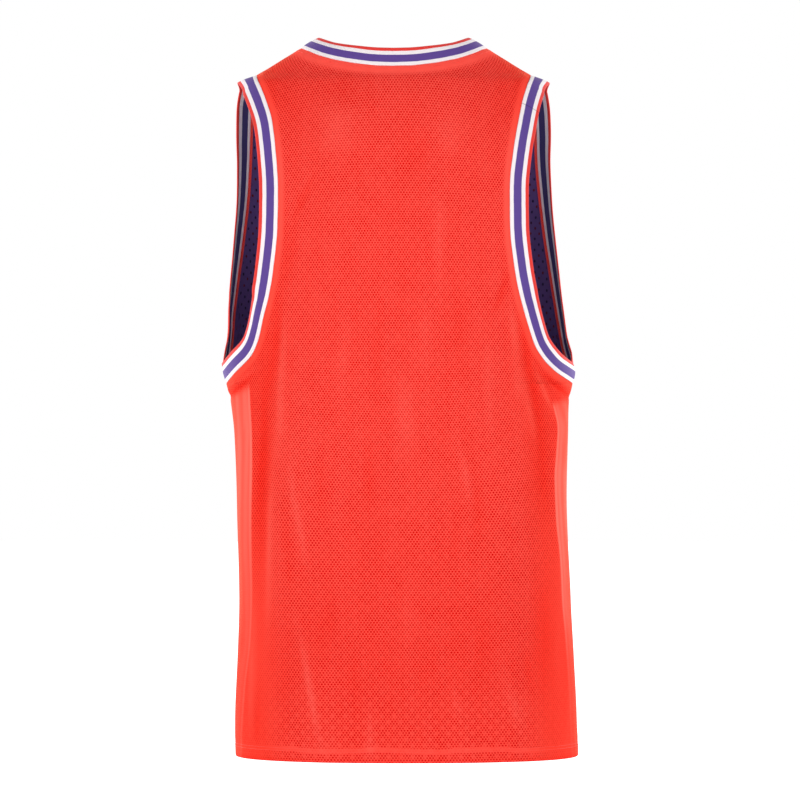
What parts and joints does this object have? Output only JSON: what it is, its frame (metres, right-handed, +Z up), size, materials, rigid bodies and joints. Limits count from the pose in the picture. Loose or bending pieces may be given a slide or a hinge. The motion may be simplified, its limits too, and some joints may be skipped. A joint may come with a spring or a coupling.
{
  "type": "reversible tank top",
  "caption": "Sleeveless two-layer mesh jersey with striped rib bands at neck and armholes, hollow and filled out as if worn.",
  "frame": {"origin": "between the wearer's shoulders, at the height of the middle of the shoulder seams, where the wearer holds the jersey up", "axes": "+Z up, from the hem to the neck; +Y out of the wearer's back; +X towards the wearer's left"},
  "size_m": [0.3739, 0.2609, 0.7526],
  "materials": {
    "red_mesh": "matt knitted polyester mesh with small round holes, coral red",
    "purple_mesh": "matt knitted polyester mesh with larger long holes, deep purple",
    "striped_rib": "flat knitted rib, white with a purple middle stripe and a red edge"
  },
  "bodies": {
    "root": {"outer_back": "red_mesh", "outer_front": "red_mesh", "inner_back": "purple_mesh", "inner_front": "purple_mesh", "neck_band": "striped_rib", "armhole_band_left": "striped_rib", "armhole_band_right": "striped_rib"}
  },
  "joints": []
}
